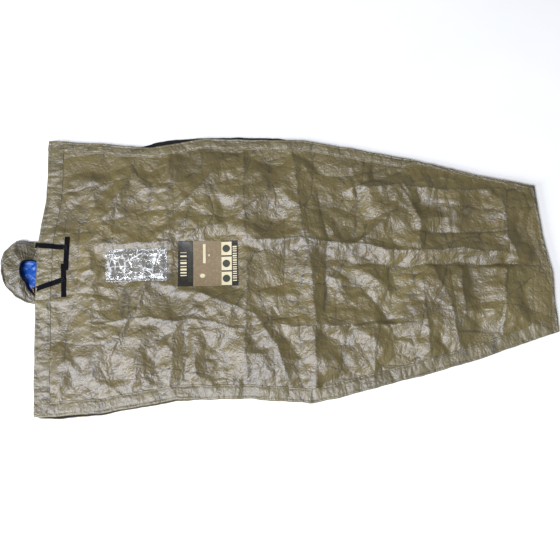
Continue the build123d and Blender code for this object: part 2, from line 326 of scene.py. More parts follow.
class Facets:
    """A surface of flat triangles between points, which keep clear of the straight runs that are edges."""

    def __init__(self, points, runs=(), clear=0.0):
        plan, lift, edges = [], [], []
        for run, height in runs:
            edges += [(len(plan) + k, len(plan) + k + 1) for k in range(len(run) - 1)]
            plan += [tuple(p) for p in run]
            lift += list(height)
        if plan:
            taken = np.array(plan)
            gap = np.hypot(points[:, None, 0] - taken[:, 0], points[:, None, 1] - taken[:, 1]).min(1)
            points = points[gap > clear]
        plan += [tuple(p) for p in points[:, :2]]
        lift += list(points[:, 2])
        # The triangulation adds points where two runs cross
        crossing = 0.004
        flat, _, faces, origin, _, _ = delaunay_2d_cdt([Vector(p) for p in plan], edges, [], 0, 1e-6)
        high = [max((lift[k] for k in at), key=abs) if at else crossing for at in origin]
        self.tree = BVHTree.FromPolygons([(p.x, p.y, z) for p, z in zip(flat, high)], faces)

    def read(self, x, y):
        found = np.zeros(x.size)
        down = Vector((0, 0, -1))
        for k, (px, py) in enumerate(zip(x.ravel(), y.ravel())):
            hit = self.tree.ray_cast(Vector((px, py, 1)), down)[0]
            found[k] = hit.z if hit else 0
        return found.reshape(x.shape)


def crumples(x, y, spacing, seed, low, high, area=SACK_AREA):
    """Heights of flat facets whose corners are about a spacing apart, and lie between low and high."""
    return Facets(scatter(spacing, seed, low, high, area)).read(x, y)


def tray(x, y, v):
    """The cover's height with no creases: a rim, a slope and a crown, with a low mouth at the head."""
    slope_start, slope_end, mouth_length, mouth_rise = 0.03, 0.16, 0.14, 0.28
    rise = smooth(slope_start, slope_end, inset(x, y))
    mouth = mouth_rise + (1 - mouth_rise) * smooth(0.0, mouth_length, x - head_edge(v))
    return RIM_TOP + (CROWN_TOP - RIM_TOP) * rise * mouth


def within(x, y, low, high, margin=0.03):
    """1 inside a rectangle of the plan, falling to 0 over a margin round it."""
    out_x = np.maximum(low[0] - x, x - high[0])
    out_y = np.maximum(low[1] - y, y - high[1])
    return 1 - smooth(0, margin, np.maximum(out_x, out_y))


def calm(x, y):
    """How freely the cover crumples: less at its edges, and under the straps, pocket and label."""
    free = 0.3 + 0.7 * smooth(0.0, 0.09, inset(x, y))
    label_low, label_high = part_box("label_card")
    pocket_low, pocket_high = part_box("pocket_weld")
    free = free * (1 - 0.7 * within(x, y - SHIFT, label_low, label_high))
    free = free * (1 - 0.5 * within(x, y - SHIFT, pocket_low, pocket_high))
    return free * (1 - 0.85 * within(x, y - SHIFT, (HEAD_X - 0.1, -0.13), (HEAD_X + 0.12, 0.13)))


def chest_height(x):
    """The height of a strap's middle, which follows the slope at the cover's mouth and runs straight on."""
    slope_low, slope_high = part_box("strap_left")
    share = (x - slope_low.x) / (slope_high.x - slope_low.x)
    return slope_low.z + WEBBING / 2 + share * (slope_high.z - WEBBING - slope_low.z)


def strap_landing(x, y):
    """The highest that the cover may stand where a strap lies once it is peeled right back over its root."""
    lid = np.full(x.shape, 1.0)
    clear_root = 0.012
    for name in SIDES:
        low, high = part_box(f"strap_{name}")
        root_x, _, root_z = JOINTS[f"strap_{name}_peel"]["pos_m"]
        past_root = x - root_x
        reach = (root_x - low.x) / 2
        out_x = np.abs(past_root - reach - clear_root) - reach + clear_root
        out_y = np.abs(y - SHIFT - (low.y + high.y) / 2) - (high.y - low.y) / 2
        out = np.maximum(np.maximum(out_x, out_y), 0)
        mirrored = 2 * root_z - chest_height(root_x - past_root) - WEBBING / 2
        spare = 0.001 + 0.004 * smooth(0.0, 0.06, past_root)
        lid = np.minimum(lid, mirrored - spare + 0.9 * out ** 2 / (out + 0.02))
    return lid


def settle(x, y, z, held, growth, gravity, frames):
    """Heights of a cloth once a simulation has let it grow a little, hang from what holds it, and wrinkle."""
    cloth = make_sheet("settling", x, y, z)
    group = cloth.vertex_groups.new(name="held")
    for weight in np.unique(held[held > 0]):
        group.add(np.nonzero(held.ravel() == weight)[0].tolist(), float(weight), "REPLACE")
    modifier = cloth.modifiers.new("cloth", "CLOTH")
    modifier.point_cache.frame_start, modifier.point_cache.frame_end = 1, frames
    modifier.collision_settings.use_collision = False
    settings = modifier.settings
    settings.quality = 6
    settings.mass = 0.15
    settings.vertex_group_mass = "held"
    settings.shrink_min = settings.shrink_max = -growth
    settings.tension_stiffness = settings.compression_stiffness = 40
    settings.shear_stiffness = 20
    settings.bending_stiffness = 2.0
    settings.air_damping = 4
    settings.effector_weights.gravity = gravity
    scene = bpy.context.scene
    scene.frame_start, scene.frame_end = 1, frames
    for number in range(1, frames + 1):
        scene.frame_set(number)
    settled = cloth.evaluated_get(bpy.context.evaluated_depsgraph_get()).to_mesh()
    found = np.empty(len(settled.vertices) * 3, np.float32)
    settled.vertices.foreach_get("co", found)
    bpy.data.objects.remove(cloth)
    scene.frame_set(1)
    return found.reshape(-1, 3)[:, 2].reshape(z.shape).astype(float)


def finer(grid):
    """The grid with a new row and column between each pair."""
    for axis in (0, 1):
        last = grid.shape[axis] - 1
        first, second = grid.take(range(last), axis), grid.take(range(1, last + 1), axis)
        between = np.stack([first, (first + second) / 2], axis + 1)
        shape = list(grid.shape)
        shape[axis] = 2 * last
        grid = np.concatenate([between.reshape(shape), grid.take([last], axis)], axis)
    return grid


class Cover:
    """The crumpled surface of the cover, as a grid of points in plan with a height at each."""

    def __init__(self, rows, columns):
        v, u = np.meshgrid(np.linspace(0, 1, columns), np.linspace(0, 1, rows))
        z = self.draped(*place(u, v), v)
        x, y = place(finer(u), finer(v))
        free = calm(x, y)
        z = self.crumpled(x, y, blur(finer(z), 1), free)
        # Most of what stands where a peeled strap comes to rest is pressed down
        z = z - 0.85 * np.maximum(z - strap_landing(x, y), 0)
        self.x, self.y, self.z = x, y, np.maximum(z, LOWEST)
        self.soft = blur(self.z, 14)
        self.under = lowest_near(self.z, 3)
        # Painted shade: how close each point is to a crease, which the cloth's material draws darker
        self.painted_fold_shade = free * np.abs(crease_reach(x, y, 0.0035))

    @staticmethod
    def draped(x, y, v):
        """The heights of the packing creases and the flat panels between them, half settled as cloth."""
        flat = tray(x, y, v)
        panels = Facets(scatter(0.085, 3, -0.010, 0.006), crease_runs(), clear=0.045).read(x, y)
        panel_gain = 1.75
        z = flat + calm(x, y) * panel_gain * blur(panels, 1) + bumps(x, y, 0.002, 0.03, 61)
        # The edges are held fast, and the creases nearly so
        held = np.where(np.abs(crease_reach(x, y, 0.01)) > 0.5, 0.8, 0.0)
        held[(inset(x, y) < 0.045) | (x - head_edge(v) < HEAD_HEM)] = 1.0
        settled = settle(x, y, z, held, growth=0.012, gravity=0.10, frames=22)
        return 0.5 * z + 0.5 * np.clip(settled, flat - 0.012, flat + 0.013)

    @staticmethod
    def crumpled(x, y, z, free):
        """The heights with sharp creases, three sizes of small facets, and puckers inside the hem."""
        z = z + 0.003 * free * crease_reach(x, y, 0.006)
        z = z + free * crumples(x, y, 0.066, 13, -0.0062, 0.0062)
        bent_x, bent_y = x + bumps(x, y, 0.006, 0.05, 41), y + bumps(x, y, 0.006, 0.05, 43)
        rough = 0.45 + 0.55 * smooth(0.0, 0.25, bumps(x, y, 1.0, 0.13, 77))
        for spacing, seed, height in ((0.034, 5, 0.0026), (0.016, 9, 0.0010)):
            z = z + free * rough * crumples(bent_x, bent_y, spacing, seed, -height, height)
        edge = inset(x, y)
        pucker = noise(x / 0.022, edge / 0.09, 61) * bell(edge - 0.06, 0.03)
        return z + 0.003 * pucker

    def read(self, grid, x, y):
        """One of the cover's grids at any place in plan, with its edge carried on outwards."""
        u, v = find(x, y)
        row = np.clip(u, 0, 1) * (grid.shape[0] - 1.001)
        column = np.clip(v, 0, 1) * (grid.shape[1] - 1.001)
        i, j = row.astype(int), column.astype(int)
        s, t = row - i, column - j
        near = grid[i, j] * (1 - t) + grid[i, j + 1] * t
        far = grid[i + 1, j] * (1 - t) + grid[i + 1, j + 1] * t
        return near * (1 - s) + far * s

    def height(self, x, y):
        return self.read(self.z, np.asarray(x, float), np.asarray(y, float))

    def bed(self, x, y):
        """The height that a stiffer thing lies at on the cover."""
        x, y = np.asarray(x, float), np.asarray(y, float)
        return np.maximum(self.height(x, y), self.read(self.soft, x, y))


# ---------------------------------------------------------------- meshes


def grid_faces(rows, columns, start=0, flip=False):
    """The quads of a grid of points."""
    i, j = np.meshgrid(np.arange(rows - 1), np.arange(columns - 1), indexing="ij")
    a = (start + i * columns + j).ravel()
    quads = np.stack([a, a + columns, a + columns + 1, a + 1], -1)
    return quads[:, ::-1] if flip else quads


def make_mesh(name, points, faces, uv=None, outward=False):
    """A smooth mesh object from points and faces, with distances along the cloth as its UV map."""
    mesh = bpy.data.meshes.new(name)
    mesh.from_pydata(np.asarray(points).tolist(), [], [list(map(int, face)) for face in faces])
    if outward:
        edit = bmesh.new()
        edit.from_mesh(mesh)
        bmesh.ops.recalc_face_normals(edit, faces=edit.faces)
        edit.to_mesh(mesh)
        edit.free()
    mesh.shade_smooth()
    if uv is not None:
        layer = mesh.uv_layers.new(name="cloth")
        corner = np.empty(len(mesh.loops), np.int32)
        mesh.loops.foreach_get("vertex_index", corner)
        layer.data.foreach_set("uv", uv[corner].astype(np.float32).ravel())
    piece = bpy.data.objects.new(name, mesh)
    bpy.context.collection.objects.link(piece)
    return piece


def make_grid(name, grid, uv):
    """A single sheet through a grid of points."""
    return make_mesh(name, grid.reshape(-1, 3), grid_faces(*grid.shape[:2]), uv.reshape(-1, 2))


def make_sheet(name, x, y, z):
    """A single sheet over a grid in plan, with the plan as its UV map."""
    return make_grid(name, np.stack([x, y, z], -1), np.stack([x, y], -1))


def unit(vectors):
    """The vectors, each at length 1."""
    return vectors / np.linalg.norm(vectors, axis=-1, keepdims=True)


def directions(path):
    """Unit vectors along a line of points, level across it, and up from it."""
    ahead = unit(np.gradient(path, axis=0))
    side = unit(np.cross(ahead, (0, 0, 1)))
    return ahead, side, np.cross(side, ahead)


def lengths(points):
    """The distance along a line of points, from 0."""
    return np.concatenate([[0], np.cumsum(np.linalg.norm(np.diff(points, axis=0), axis=1))])


def spaced(points, spacing):
    """Points evenly spaced along a line, with the distance along it."""
    run = lengths(points)
    even = np.linspace(0, run[-1], max(2, round(run[-1] / spacing) + 1))
    return np.stack([np.interp(even, run, points[:, k]) for k in range(points.shape[1])], -1), even


def make_tube(name, rings):
    """A closed skin through rings of points, with flat ends."""
    count, around = rings.shape[:2]
    i, j = np.meshgrid(np.arange(count - 1), np.arange(around), indexing="ij")
    a, b = (i * around + j).ravel(), (i * around + (j + 1) % around).ravel()
    faces = np.stack([a, b, b + around, a + around], -1).tolist()
    faces += [range(around), range((count - 1) * around, count * around)]
    run = lengths(rings.mean(1))
    across = lengths(rings[0])
    uv = np.stack(np.meshgrid(run, across, indexing="ij"), -1)
    return make_mesh(name, rings.reshape(-1, 3), faces, uv.reshape(-1, 2), outward=True)


def make_pad(name, x, y, top, bottom):
    """A closed pad over a grid in plan, between its top and bottom heights."""
    rows, columns = x.shape
    size = rows * columns
    points = np.concatenate([np.stack([x, y, z], -1).reshape(-1, 3) for z in (top, bottom)])
    index = np.arange(size).reshape(rows, columns)
    border = np.concatenate([index[0, :-1], index[:-1, -1], index[-1, :0:-1], index[:0:-1, 0]])
    after = np.roll(border, -1)
    sides = np.stack([border, after, after + size, border + size], -1)
    faces = np.concatenate([grid_faces(rows, columns), grid_faces(rows, columns, size, flip=True), sides])
    uv = np.tile(np.stack([x, y], -1).reshape(-1, 2), (2, 1))
    return make_mesh(name, points, faces, uv, outward=True)


def make_tape(name, path, width, thickness, spacing=0.003):
    """A flat woven tape along a line of points at its middle, with slightly raised edges."""
    path, _ = spaced(np.asarray(path, float), spacing)
    _, side, up = directions(path)
    half, high, lip = width / 2, thickness / 2, 0.0014
    quarter = [(half, 0), (half - 0.0004, high), (half - lip, high), (half - 2 * lip, 0.7 * high),
               (0, 0.75 * high)]
    upper = quarter + [(-a, b) for a, b in quarter[-2::-1]]
    section = upper + [(a, -b) for a, b in upper[-2:0:-1]]
    rings = np.stack([path + a * side + b * up for a, b in section], 1)
    return make_tube(name, rings)


def make_stitches(name, path, pitch, length=0.0032, width=0.0011, height=0.0007):
    """A row of thread stitches that lie along a line of points."""
    rows, faces = [], []
    centres, run = spaced(np.asarray(path, float), pitch)
    ahead = unit(np.gradient(centres, axis=0))
    up = np.array([0, 0, 1.0])
    for k, (centre, forward, out) in enumerate(zip(centres, ahead, np.cross(ahead, up))):
        ends = [centre - forward * length / 2, centre + forward * length / 2]
        ring = [out * width / 2, up * height, -out * width / 2, -up * height]
        rows += ends + [centre + offset for offset in ring]
        a = 6 * k
        for j in range(4):
            here, there = a + 2 + j, a + 2 + (j + 1) % 4
            faces += [(a, there, here), (a + 1, here, there)]
    uv = np.repeat(np.stack([run, 0 * run], -1), 6, axis=0)
    return make_mesh(name, np.array(rows), faces, uv, outward=True)


def join(name, pieces):
    """Several meshes as one piece."""
    with bpy.context.temp_override(active_object=pieces[0], selected_editable_objects=pieces):
        bpy.ops.object.join()
    pieces[0].name = name
    return pieces[0]


# ---------------------------------------------------------------- materials


class Shader:
    """A short way to write a node material."""

    def __init__(self, name):
        self.material = bpy.data.materials.new(name)
        self.material.use_nodes = True
        self.tree = self.material.node_tree
        self.bsdf = self.tree.nodes["Principled BSDF"]

    def link(self, socket, value):
        """Links a socket to another one, or sets it to a value. A colour is three numbers."""
        if isinstance(value, bpy.types.NodeSocket):
            self.tree.links.new(value, socket)
        elif value is not None:
            socket.default_value = (*value, 1) if socket.type == "RGBA" else value

    def feed(self, made, **values):
        """Links or sets a node's sockets by name, with underscores for the spaces in their names."""
        for name, value in values.items():
            self.link(next(s for s in made.inputs if s.name == name.replace("_", " ") and s.enabled), value)
        return made

    def node(self, kind, *inputs, **settings):
        """Adds a node. Inputs are sockets or values in order."""
        made = self.tree.nodes.new("ShaderNode" + kind)
        for key, value in settings.items():
            setattr(made, key, value)
        for socket, value in zip(made.inputs, inputs):
            self.link(socket, value)
        return made

    def math(self, operation, *inputs):
        return self.node("Math", *inputs, operation=operation).outputs[0]

    def cloth(self):
        return self.node("UVMap", uv_map="cloth").outputs[0]

    def texture(self, kind, scale, vector=None, **settings):
        """A texture on distances along the cloth, or on the given vector."""
        return self.feed(self.node(kind, vector or self.cloth(), **settings), Scale=scale)

    def bent(self, scale, reach, stretch=(1, 1, 1)):
        """Distances along the cloth, stretched, and bent by noise so that a pattern on them wanders."""
        wander = self.texture("TexNoise", scale)
        shift = self.node("VectorMath", wander.outputs["Color"], (reach, reach, 0), self.cloth(),
                          operation="MULTIPLY_ADD")
        return self.node("VectorMath", shift.outputs[0], stretch, operation="MULTIPLY").outputs[0]

    def wave(self, scale, direction):
        return self.texture("TexWave", scale, wave_type="BANDS", bands_direction=direction).outputs["Fac"]

    def facets(self, scale, vector):
        """The distance from the nearest edge of a cell: flat sides that meet in sharp creases."""
        return self.texture("TexVoronoi", scale, vector, feature="DISTANCE_TO_EDGE").outputs["Distance"]

    def long_facets(self, scale, length, first, second):
        """Facets that run both ways: stretched along the cloth, and across it."""
        return self.math("MINIMUM", self.facets(scale, self.bent(*first, (1.0, length, 1.0))),
                         self.facets(scale, self.bent(*second, (length, 1.0, 1.0))))

    def crumple(self, crinkle):
        """Long flat facets and short ones between them, and the relief of both together."""
        panes = self.long_facets(7.0, 0.42, (5.0, 0.03), (6.0, 0.04))
        shards = self.long_facets(20.0, 0.5, (12.0, 0.02), (14.0, 0.02))
        chips = self.facets(70.0, self.bent(30.0, 0.02))
        return panes, shards, self.relief((panes, 10 * crinkle), (shards, 3 * crinkle), (chips, crinkle))

    def noise(self, scale, detail=3.0, rough=0.55, distortion=0.0, vector=None, **settings):
        made = self.texture("TexNoise", scale, vector, **settings)
        return self.feed(made, Detail=detail, Roughness=rough, Distortion=distortion).outputs["Fac"]

    def crinkles(self, scale):
        return self.noise(scale, 4.0, 0.55, 0.4, noise_type="RIDGED_MULTIFRACTAL")

    def ramp(self, value, *stops):
        made = self.node("ValToRGB", value)
        ramp = made.color_ramp
        while len(ramp.elements) < len(stops):
            ramp.elements.new(0.5)
        for element, (at, colour) in zip(ramp.elements, stops):
            element.position = at
            element.color = (*colour, 1)
        return made.outputs[0]

    def grey(self, value, *stops):
        """A ramp of greys, with a level from 0 to 1 at each stop."""
        return self.ramp(value, *((at, (level, level, level)) for at, level in stops))

    def mix(self, share, first, second):
        made = self.node("Mix", data_type="RGBA", blend_type="MIX")
        self.feed(made, Factor=share, A=first, B=second)
        return next(s for s in made.outputs if s.enabled)

    def relief(self, *layers, under=None):
        """Bumps on top of each other, each a height, a distance and a strength, which is 1 if left out."""
        for height, distance, *strength in layers:
            made = self.feed(self.node("Bump"), Strength=strength[0] if strength else 1.0, Distance=distance,
                             Height=height, Normal=under)
            under = made.outputs[0]
        return under

    def set(self, **values):
        """Links or sets the surface shader's sockets, and gives the material."""
        self.feed(self.bsdf, **values)
        return self.material


def srgb(*levels):
    """A colour given as screen values from 0 to 255."""
    return tuple(((c / 255 + 0.055) / 1.055) ** 2.4 if c > 10 else c / 255 / 12.92 for c in levels)


def thread_weave(s, pitch):
    """The height of a plain weave, from 0 to 1, with the given distance between threads."""
    return s.math("MULTIPLY", s.wave(0.314 / pitch, "X"), s.wave(0.314 / pitch, "Y"))


def coated_fabric(name, dark, main, pale, gloss, crinkle):
    """Close-woven cloth with a satin coating, finely crinkled, with painted shade darkening it along its
    creases and the edges of its facets.
    """
    s = Shader(name)
    rubbed = s.noise(19.0, 5.0, 0.65, 0.6)
    colour = s.ramp(s.noise(3.2, 4.0, 0.6), (0.30, dark), (0.50, main), (0.72, pale))
    colour = s.mix(s.math("MULTIPLY", s.noise(300.0, 2.0), 0.25), colour, dark)
    # Painted shade: darker along the creases and tucks marked on the piece, broken up by noise
    painted_fold_shade = s.node("Attribute", attribute_name="painted_fold_shade").outputs["Fac"]
    patchy_fold_shade = s.math("MULTIPLY", painted_fold_shade, s.grey(s.noise(45.0), (0.35, 0.1), (0.6, 0.85)))
    panes, shards, normal = s.crumple(crinkle)
    # Painted shade: thin dark lines along the edges of the long and short facets, in patches, where their
    # creases would be shaded
    patches = s.grey(s.noise(16.0, 3.0), (0.44, 0.0), (0.54, 0.9))
    few = s.grey(s.noise(23.0, 3.0), (0.50, 0.0), (0.60, 0.8))
    lines = s.math("MAXIMUM", s.math("MULTIPLY", s.grey(panes, (0.0, 0.8), (0.022, 0)), patches),
                   s.math("MULTIPLY", s.grey(shards, (0.0, 0.5), (0.05, 0)), few))
    colour = s.mix(s.math("MAXIMUM", patchy_fold_shade, lines), colour, tuple(0.3 * c for c in dark))
    normal = s.relief((s.crinkles(26.0), crinkle, 0.4), (s.noise(120.0, 4.0, 0.6, 0.8), 0.75 * crinkle, 0.5),
                      (thread_weave(s, 0.0011), 0.00012, 0.25), under=normal)
    return s.set(Base_Color=colour, Roughness=s.math("MULTIPLY_ADD", rubbed, 0.12, gloss), Normal=normal,
                 IOR=1.65, Specular_IOR_Level=0.9, Specular_Tint=(0.87, 0.88, 1.0), Sheen_Weight=0.05)


def blue_lining(name):
    """Thin slippery nylon, close woven, with soft wrinkles."""
    s = Shader(name)
    blues = (0.3, srgb(6, 62, 150)), (0.55, srgb(14, 88, 186)), (0.75, srgb(30, 112, 206))
    _, _, normal = s.crumple(0.0016)
    normal = s.relief((s.crinkles(34.0), 0.0022, 0.5), (s.noise(110.0, 4.0, 0.6, 0.8), 0.0012, 0.5),
                      (thread_weave(s, 0.0009), 0.0001, 0.3), under=normal)
    return s.set(Base_Color=s.ramp(s.noise(5.0, 4.0, 0.6), *blues), Roughness=0.36, Normal=normal,
                 Specular_IOR_Level=0.6, Sheen_Weight=0.1)


def fastener(name, scale):
    """Black hook or loop tape: a dense field of short bristles."""
    s = Shader(name)
    cells = s.texture("TexVoronoi", scale, feature="F1").outputs["Distance"]
    colour = s.ramp(cells, (0.1, srgb(36, 36, 40)), (0.5, srgb(14, 14, 16)), (0.9, srgb(7, 7, 9)))
    normal = s.relief((cells, -0.0008), (s.noise(40.0, 3.0), 0.0006, 0.5))
    return s.set(Base_Color=colour, Roughness=0.8, Normal=normal, Specular_IOR_Level=0.2, Sheen_Weight=0.25)


def webbing(name, dark, pale):
    """Herringbone-woven tape."""
    s = Shader(name)
    weave = s.math("MULTIPLY", s.wave(180, "DIAGONAL"), s.wave(260, "X"))
    colour = s.mix(s.noise(60.0, 4.0), s.mix(weave, dark, pale), dark)
    return s.set(Base_Color=colour, Roughness=0.75, Normal=s.relief((weave, 0.0004, 0.8)),
                 Specular_IOR_Level=0.1, Sheen_Weight=0.02)


def thread(name, colour):
    """Twisted thread."""
    s = Shader(name)
    tone = s.mix(s.math("MULTIPLY", s.wave(400, "DIAGONAL"), 0.5), colour, srgb(20, 18, 12))
    return s.set(Base_Color=tone, Roughness=0.6, Sheen_Weight=0.2)


def clear_film(name, alpha, painted_glint_alpha):
    """Clear soft film, which shows mostly as glints along its creases."""
    s = Shader(name)
    panes = s.long_facets(34.0, 0.4, (14.0, 0.04), (16.0, 0.05))
    shards = s.facets(90.0, s.bent(40.0, 0.03))
    # Painted glints: pale lines along the film's creases, mixed towards near-white and made more opaque
    lines = s.math("MAXIMUM", s.grey(panes, (0.0, 1), (0.06, 0)), s.grey(shards, (0.0, 0.3), (0.05, 0)))
    lines = s.math("MULTIPLY", lines, s.grey(s.noise(22.0, 3.0), (0.40, 0.1), (0.54, 1)))
    colour = s.mix(lines, srgb(128, 128, 126), srgb(238, 240, 240))
    return s.set(Base_Color=colour, Roughness=0.12, Alpha=s.math("MULTIPLY_ADD", lines, painted_glint_alpha, alpha),
                 Normal=s.relief((panes, 0.004), (shards, 0.003)),
                 Specular_IOR_Level=1.0, Coat_Weight=1.0, Coat_Roughness=0.05)


def printed(name, ink, worn):
    """Satin printed film, scuffed along its crinkles."""
    s = Shader(name)
    scuff = s.grey(s.noise(90.0, 5.0, 0.65, 0.5), (0.5, 0), (0.8, 0.5))
    colour = s.mix(scuff, s.mix(s.noise(14.0, 3.0), ink, tuple(c * 0.82 for c in ink)), worn)
    return s.set(Base_Color=colour, Roughness=s.math("MULTIPLY_ADD", scuff, 0.2, 0.36),
                 Normal=s.relief((s.crinkles(45.0), 0.0008, 0.5)), Specular_IOR_Level=0.5)


OLIVE = coated_fabric("olive_coated_cloth", srgb(80, 69, 22), srgb(98, 85, 33), srgb(113, 100, 48),
                      gloss=0.42, crinkle=0.0020)
HEM = coated_fabric("hem_coated_cloth", srgb(88, 78, 42), srgb(104, 94, 56), srgb(118, 109, 72),
                    gloss=0.45, crinkle=0.0024)
HOOD_OLIVE = coated_fabric("hood_coated_cloth", srgb(72, 64, 32), srgb(90, 81, 44), srgb(106, 96, 60),
                           gloss=0.42, crinkle=0.0022)
BLUE = blue_lining("blue_lining_cloth")
HOOKS = fastener("hook_tape_black", scale=900)
LOOPS = fastener("loop_tape_black", scale=500)
BLACK_WEBBING = webbing("black_webbing", srgb(4, 4, 10), srgb(17, 19, 30))
BINDING = webbing("navy_binding", srgb(12, 15, 26), srgb(44, 54, 78))
DARK_THREAD = thread("dark_olive_thread", srgb(62, 56, 34))
BLACK_THREAD = thread("black_thread", srgb(40, 41, 48))
FILM = clear_film("clear_pocket_film", alpha=0.50, painted_glint_alpha=0.48)
WELDED = clear_film("welded_film", alpha=0.45, painted_glint_alpha=0.40)
INKS = {
    "black": printed("ink_black", srgb(38, 35, 30), srgb(74, 68, 58)),
    "brown": printed("ink_brown", srgb(132, 115, 90), srgb(170, 156, 132)),
    "cream": printed("ink_cream", srgb(218, 208, 176), srgb(190, 178, 148)),
    "slate": printed("ink_slate", srgb(64, 66, 58), srgb(96, 94, 80)),
}


# ---------------------------------------------------------------- cover

# The grid is settled as cloth at this size, and then made twice as fine
COVER = Cover(rows=214, columns=118)


def finish_piece(piece, material, slot, *nodes):
    """Gives a piece its material, and hides the CAD nodes that it stands for. The slot is not used."""
    if not piece.data.materials:
        piece.data.materials.append(material)
    if nodes:
        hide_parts(*nodes)
    return piece


def fold_with_cover(piece):
    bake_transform(piece)


def paint_fold_shade(piece, values):
    """Marks how sharply each point of a piece was creased, which its material draws darker as painted shade in
    the folds.
    """
    layer = piece.data.attributes.new("painted_fold_shade", "FLOAT", "POINT")
    layer.data.foreach_set("value", values.ravel().astype(np.float32))


def cloth_area(x, y):
    """The area in plan of a grid of points."""
    ax, ay = x[1:, 1:] - x[:-1, :-1], y[1:, 1:] - y[:-1, :-1]
    bx, by = x[:-1, 1:] - x[1:, :-1], y[:-1, 1:] - y[1:, :-1]
    return float(np.abs(ax * by - ay * bx).sum() / 2)


def make_cover():
    """The cover's outer cloth and its lining, which hangs under it by the thickness of the padding."""
    shell = make_sheet("cover_shell", COVER.x, COVER.y, COVER.z)
    paint_fold_shade(shell, COVER.painted_fold_shade)
    finish_piece(shell, OLIVE, "outer_fabric", "front_cover_shell", "front_cover_insulation",
                 "foot_cover_shell", "foot_cover_insulation")
    fold_with_cover(shell)
    area = cloth_area(COVER.x, COVER.y)

    v, u = np.meshgrid(np.linspace(0.006, 0.994, 124), np.linspace(0.004, 0.997, 220))
    x, y = place(u, v)
    crinkle = blur(crumples(x, y, 0.032, 15, -0.003, 0.003), 1) + bumps(x, y, 0.0008, 0.02, 3)
    z = COVER.read(COVER.soft, x, y) - COVER_PADDING + crinkle * calm(x, y)
    z = np.clip(z, RIM_BOTTOM + 0.0004, COVER.read(COVER.under, x, y) - 0.005)
    lining = make_sheet("cover_lining", x, y, z)
    finish_piece(lining, BLUE, "liner_fabric", "front_cover_liner", "foot_cover_liner")
    fold_with_cover(lining)


# A hem's section, as shares of its width in from the edge and heights over the cover
HEM_SECTION = [(1.0, 0.0001), (0.985, 0.0014), (0.94, 0.0019), (0.90, 0.0008), (0.86, 0.0019), (0.72, 0.0023),
               (0.55, 0.0022), (0.38, 0.0023), (0.24, 0.0019), (0.19, 0.0008), (0.14, 0.0019), (0.06, 0.0022),
               (0.0, 0.0012), (-0.02, -0.0015), (-0.015, -0.0048), (0.04, -0.0070), (0.16, -0.0076)]
STITCH_ROWS = (0.90, 0.19)


def hem_rings(path, inward, width, seed, ribs):
    """The points of a hem that wraps an edge of the cover, with small puckers across it."""
    run = lengths(path)
    shares, lifts = np.array(HEM_SECTION).T
    plan = path[:, None, :] + inward[:, None, :] * (shares[None, :, None] * width[:, None, None])
    z = COVER.height(plan[..., 0], plan[..., 1])
    over = np.where(lifts > 0.0015, 1.0, 0.2)
    pucker = ribs * noise(run[:, None] / 0.009, shares[None, :] * 1.5, seed)
    roll = 0.0016 * noise(run[:, None] / 0.06, shares[None, :], seed + 1)
    z = z + lifts + over * (pucker + roll)
    return np.concatenate([plan, z[..., None]], -1), run, shares


def make_hem(name, path, inward, width, seed, ribs):
    """A hem and its two rows of stitches, as a sheet that wraps the edge."""
    rings, run, shares = hem_rings(path, inward, width, seed, ribs)
    uv = np.stack(np.broadcast_arrays(run[:, None], shares[None, :] * width.mean()), -1)
    hem = make_grid(name, rings, uv)
    rows = [rings[:, shares.tolist().index(share)] + (0, 0, 0.0006) for share in STITCH_ROWS]
    rows = [make_stitches(f"{name}_row_{k}", row, pitch=0.0055) for k, row in enumerate(rows)]
    return hem, finish_piece(join(f"{name}_stitches", rows), DARK_THREAD, "hem_fabric")


def head_path():
    """The cover's head edge, from right to left, and the way in from it."""
    v = np.linspace(0.004, 0.996, 230)
    path = np.stack(place(0 * v, v), -1)
    return path, np.tile([1.0, 0.0], (len(path), 1))


def side_path(left_start, right_start):
    """The cover's edge down the left side, across the foot and up the right side, and the way in from it."""
    v = np.linspace(1, 0, 90)
    x = np.linspace(left_start, float(foot_edge(1.0)), 300)
    left = np.stack([x, side_edge(x, LEFT)], -1)
    foot = np.stack(place(0 * v + 1, v), -1)[1:-1]
    x = np.linspace(float(foot_edge(0.0)), right_start, 300)
    right = np.stack([x, side_edge(x, RIGHT)], -1)
    path, _ = spaced(np.concatenate([left, foot, right]), 0.0055)
    ahead = np.gradient(path, axis=0)
    inward = np.stack([ahead[:, 1], -ahead[:, 0]], -1)
    # Smoothed, so that the hem turns gently at the corners
    reach = 9
    kernel = np.hanning(2 * reach + 1) / np.hanning(2 * reach + 1).sum()
    padded = np.pad(inward, ((reach, reach), (0, 0)), mode="edge")
    inward = np.stack([np.convolve(padded[:, k], kernel, "valid") for k in (0, 1)], -1)
    return path, unit(inward)


def hem_width(path):
    """The side hem is wide up the right side, narrower on the left, and only a rolled edge near the foot."""
    x, y = path.T
    left = 0.042 - 0.028 * smooth(0.50, 0.56, x)
    right = 0.055 - 0.043 * smooth(COVER_FOOT_X - 0.07, COVER_FOOT_X - 0.01, x)
    return np.where(y > 0, left, right) * (1 + wander(x, size=0.06, length=0.05, seed=83))


def make_hems():
    """The hem across the mouth, and the one down the sides and round the foot."""
    path, inward = head_path()
    width = np.full(len(path), HEAD_HEM)
    hem, stitches = make_hem("cover_head_hem", path, inward, width, seed=71, ribs=0.0042)
    finish_piece(hem, HEM, "hem_fabric", "head_hem")
    for piece in (hem, stitches):
        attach(piece, "front_cover")

    path, inward = side_path(float(head_edge(1.0)) + 0.001, float(head_edge(0.0)) + 0.001)
    width = hem_width(path)
    hem, stitches = make_hem("cover_side_hem", path, inward, width, seed=81, ribs=0.0034)
    finish_piece(hem, HEM, "hem_fabric", "side_hem_left", "side_hem_right", "foot_side_hem_left",
                 "foot_side_hem_right", "foot_end_hem")
    for piece in (hem, stitches):
        fold_with_cover(piece)
    float(lengths(path)[-1])


# ---------------------------------------------------------------- base


def base_ends(v):
    """The base's head edge and foot edge."""
    return np.maximum(HEAD_X, head_edge(v) + 0.002), foot_edge(v) - 0.001


